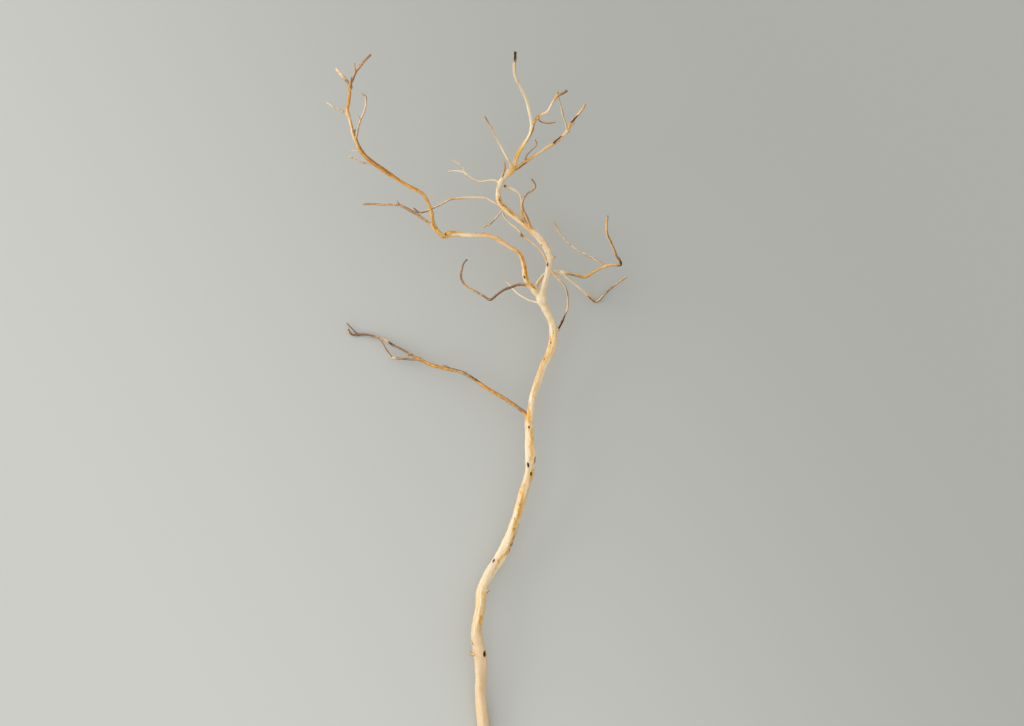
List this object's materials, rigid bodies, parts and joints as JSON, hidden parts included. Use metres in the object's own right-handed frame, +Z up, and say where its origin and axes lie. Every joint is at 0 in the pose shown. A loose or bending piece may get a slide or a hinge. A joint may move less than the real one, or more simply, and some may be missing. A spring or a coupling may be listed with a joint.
{
  "type": "bare tree branch",
  "caption": "Long crooked branch of a tree with its bark gone, forking into limbs and thin twigs, lying on a surface as cut.",
  "frame": {"origin": "the surface that the branch lies on, below the middle of its footprint", "axes": "+Z up from the surface, -Y towards the thick cut end, +Y towards the twig tips, +X towards the side without the long low branch"},
  "size_m": [0.512, 1.203, 0.2089],
  "materials": {
    "pale_wood": "bare weathered sapwood, smooth and matt, cream with honey streaks and dark knots",
    "honey_wood": "bare wood with the inner bark's honey and orange-brown stain, matt",
    "brown_twig": "thin twig that keeps its purple-brown bark, matt"
  },
  "bodies": {
    "root": {"butt_stem": "pale_wood", "middle_stem": "pale_wood", "crown_stem": "pale_wood", "top_leader": "pale_wood", "left_limb": "pale_wood", "upper_left_limb": "honey_wood", "low_side_branch": "honey_wood", "left_side_twig": "honey_wood", "right_branch": "honey_wood", "right_lower_arm": "honey_wood", "drooping_twig": "honey_wood", "outer_right_branch": "honey_wood", "hook_twig": "brown_twig"}
  },
  "joints": []
}
